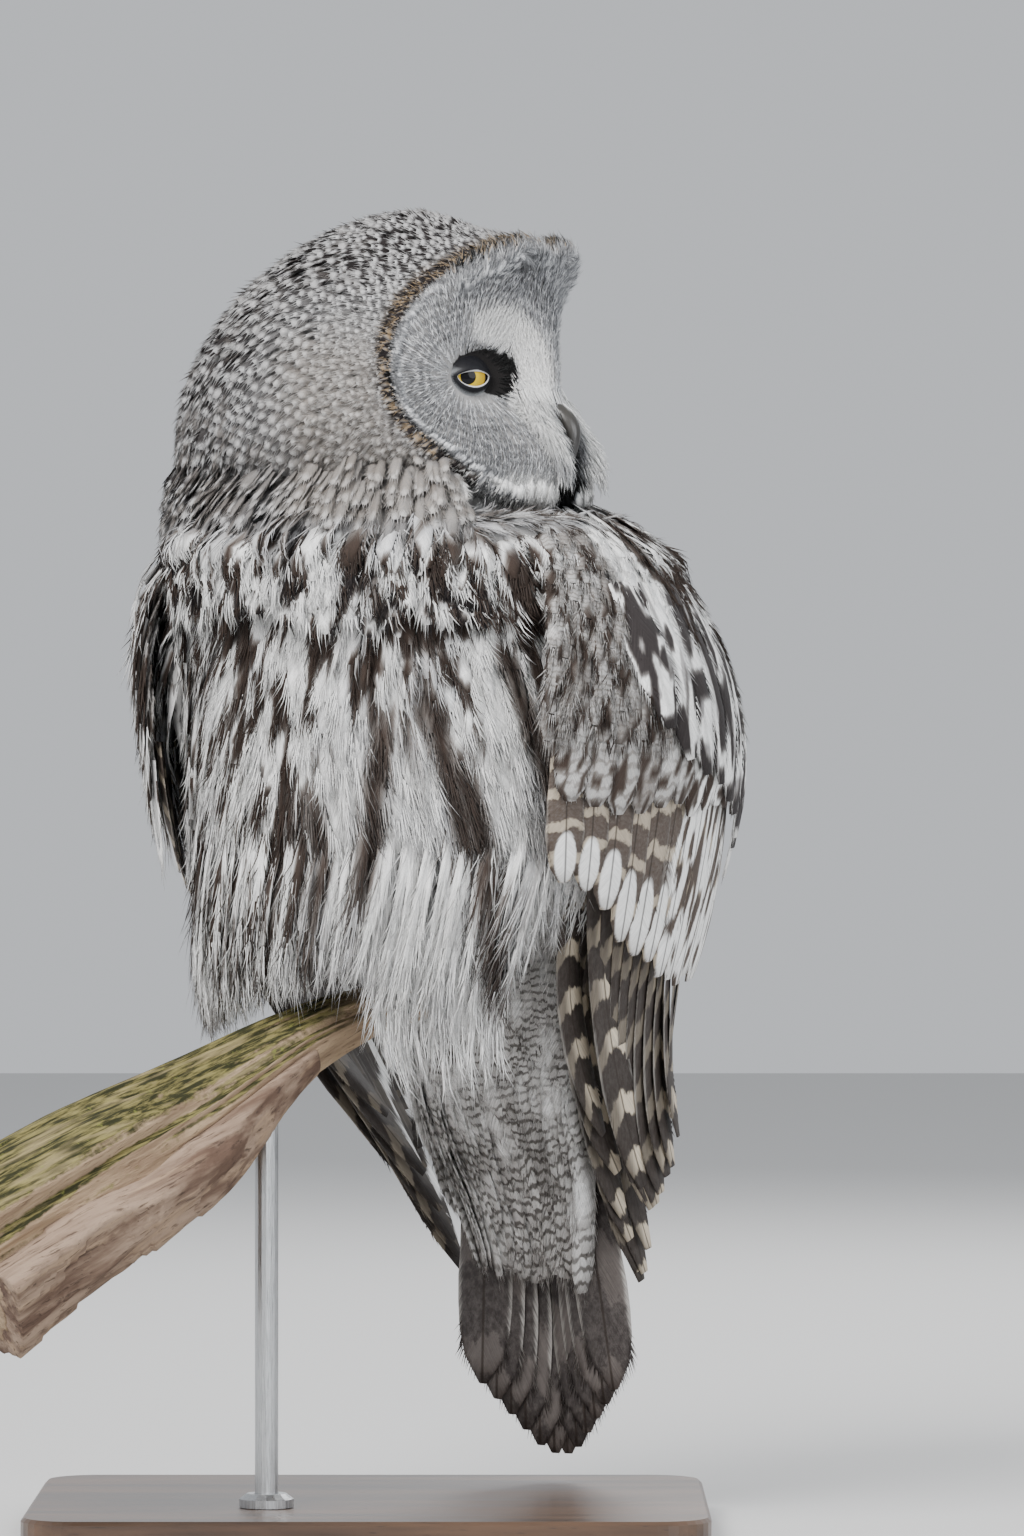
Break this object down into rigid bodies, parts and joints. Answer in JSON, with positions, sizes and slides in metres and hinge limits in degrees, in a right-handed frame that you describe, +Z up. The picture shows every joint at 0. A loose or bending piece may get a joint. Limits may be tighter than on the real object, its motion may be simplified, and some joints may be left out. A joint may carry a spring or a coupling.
{
  "type": "great grey owl",
  "caption": "Life-size great grey owl gripping the end of a cut branch, looking over its left shoulder, the branch held over a flat base by a short rod.",
  "frame": {"origin": "middle of the base's underside", "axes": "+Z up; the picture's view looks along +Y, with +X to its right; the owl's body faces -Y turned 32 degrees to the viewer's left, and its head looks towards +X"},
  "size_m": [0.4306, 0.345, 0.6883],
  "materials": {
    "body_plumage": "soft grey and white plumage with dark streaks",
    "head_plumage": "fine silver-grey plumage, ringed round the eyes",
    "wing_coverts": "speckled grey-brown plumage with white tips",
    "flight_feathers": "dark brown vanes with cream bars",
    "tail_feathers": "dark slate-brown vanes with thin pale edges",
    "leg_plumage": "short pale plumage",
    "eye": "wet yellow iris round a black pupil",
    "bill": "dull horn",
    "claws": "dark horn",
    "branch_wood": "weathered, mossy and grooved",
    "branch_bark": "flaky bark",
    "base_wood": "dark, satin",
    "steel": "satin"
  },
  "bodies": {
    "root": {"bill_lower": "bill", "bill_upper": "bill", "claw_left_1": "claws", "claw_left_2": "claws", "claw_left_3": "claws", "claw_left_4": "claws", "claw_right_1": "claws", "claw_right_2": "claws", "claw_right_3": "claws", "claw_right_4": "claws", "eye_left": "eye", "eye_right": "eye", "foot_left": "leg_plumage", "foot_right": "leg_plumage", "head": "head_plumage", "leg_left": "leg_plumage", "leg_right": "leg_plumage", "neck": "body_plumage", "perch": "branch_wood", "perch_bark": "branch_bark", "stand_base": "base_wood", "stand_collar": "steel", "stand_rod": "steel", "tail": "tail_feathers", "torso": "body_plumage", "undertail_coverts": "body_plumage", "uppertail_coverts": "body_plumage", "wing_left_coverts": "wing_coverts", "wing_left_primaries": "flight_feathers", "wing_left_secondaries": "flight_feathers", "wing_left_shoulder": "wing_coverts", "wing_right_coverts": "wing_coverts", "wing_right_primaries": "flight_feathers", "wing_right_secondaries": "flight_feathers", "wing_right_shoulder": "wing_coverts"}
  },
  "joints": []
}
